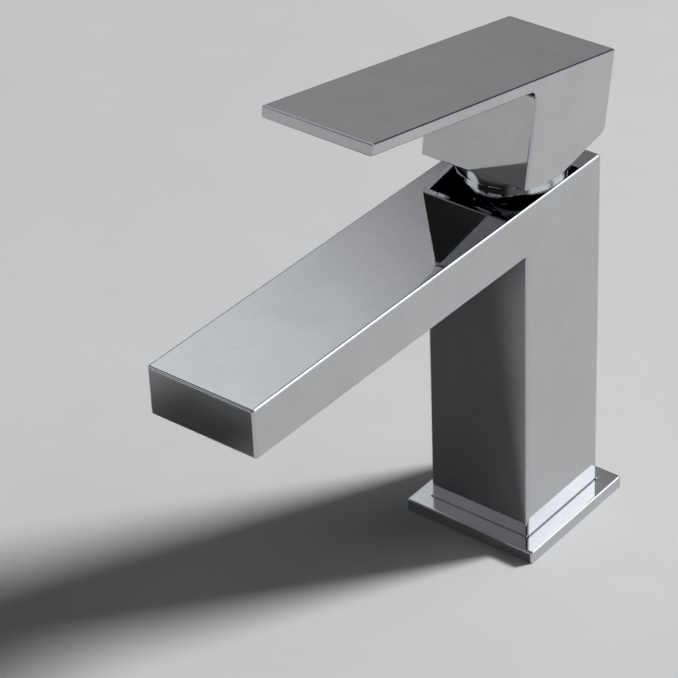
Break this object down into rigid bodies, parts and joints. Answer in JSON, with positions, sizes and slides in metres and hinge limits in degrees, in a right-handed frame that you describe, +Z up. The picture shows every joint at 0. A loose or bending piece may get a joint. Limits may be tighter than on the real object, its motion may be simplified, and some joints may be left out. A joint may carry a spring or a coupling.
{
  "type": "basin mixer tap",
  "caption": "Lever-operated basin mixer tap: square column, flat spout, flat lifting lever, ceramic cartridge, base plate and under-deck stud clamp.",
  "frame": {"origin": "on the column's axis at deck level, the underside of the base plate", "axes": "+Z up along the column, -Y along the spout towards the user, +X to the right as seen from the front"},
  "size_m": [0.059, 0.2033, 0.278],
  "materials": {
    "polished_chrome": "mirror-polished chrome plate on cast brass",
    "handle_chrome": "mirror-polished chrome plate on cast zinc",
    "brass": "machined, unplated",
    "copper": "drawn tube, dull",
    "zinc_steel": "zinc-plated",
    "stainless_steel": "machined",
    "black_rubber": "moulded, matt",
    "alumina": "lapped ceramic",
    "cartridge_plastic": "moulded",
    "guide_plastic": "moulded",
    "aerator_plastic": "moulded",
    "index_plastic": "half red, half blue"
  },
  "bodies": {
    "fixed": {"body": "polished_chrome", "base_plate": "polished_chrome", "dome_cover": "polished_chrome", "aerator_housing": "polished_chrome", "foot_block": "brass", "stud_nut": "brass", "retaining_nut": "brass", "hot_inlet_tube": "copper", "cold_inlet_tube": "copper", "mounting_stud": "zinc_steel", "clamp_plate": "zinc_steel", "aerator_screen": "stainless_steel", "base_gasket": "black_rubber", "clamp_washer": "black_rubber", "inlet_seals": "black_rubber", "disc_seals": "black_rubber", "housing_o_ring": "black_rubber", "dome_grip_ring": "black_rubber", "aerator_seal": "black_rubber", "fixed_disc": "alumina", "cartridge_base": "cartridge_plastic", "cartridge_housing": "cartridge_plastic", "slip_washer": "cartridge_plastic", "aerator_insert": "aerator_plastic"},
    "rotor": {"stem_guide": "guide_plastic", "pivot_pin": "stainless_steel"},
    "lever": {"lever_stem": "stainless_steel", "handle": "handle_chrome", "handle_screw": "stainless_steel", "index_plug": "index_plastic"},
    "disc": {"disc_carrier": "guide_plastic", "moving_disc": "alumina"}
  },
  "joints": [
    {"name": "temperature_swivel", "type": "hinge", "parent": "fixed", "child": "rotor", "pos_m": [0, 0, 0.15], "axis": [0, 0, 1], "range_deg": [-45, 45]},
    {"name": "flow_lift", "type": "hinge", "parent": "rotor", "child": "lever", "pos_m": [0, 0, 0.158], "axis": [-1, 0, 0], "range_deg": [-10.9, 14.1]},
    {"name": "disc_slide", "type": "slide", "parent": "rotor", "child": "disc", "axis": [0, -1, 0], "range_m": [-0.0038, 0.0049]}
  ],
  "couplings": [
    {"joint": "disc_slide", "follows": "flow_lift", "m_per_rad": 0.019663}
  ]
}
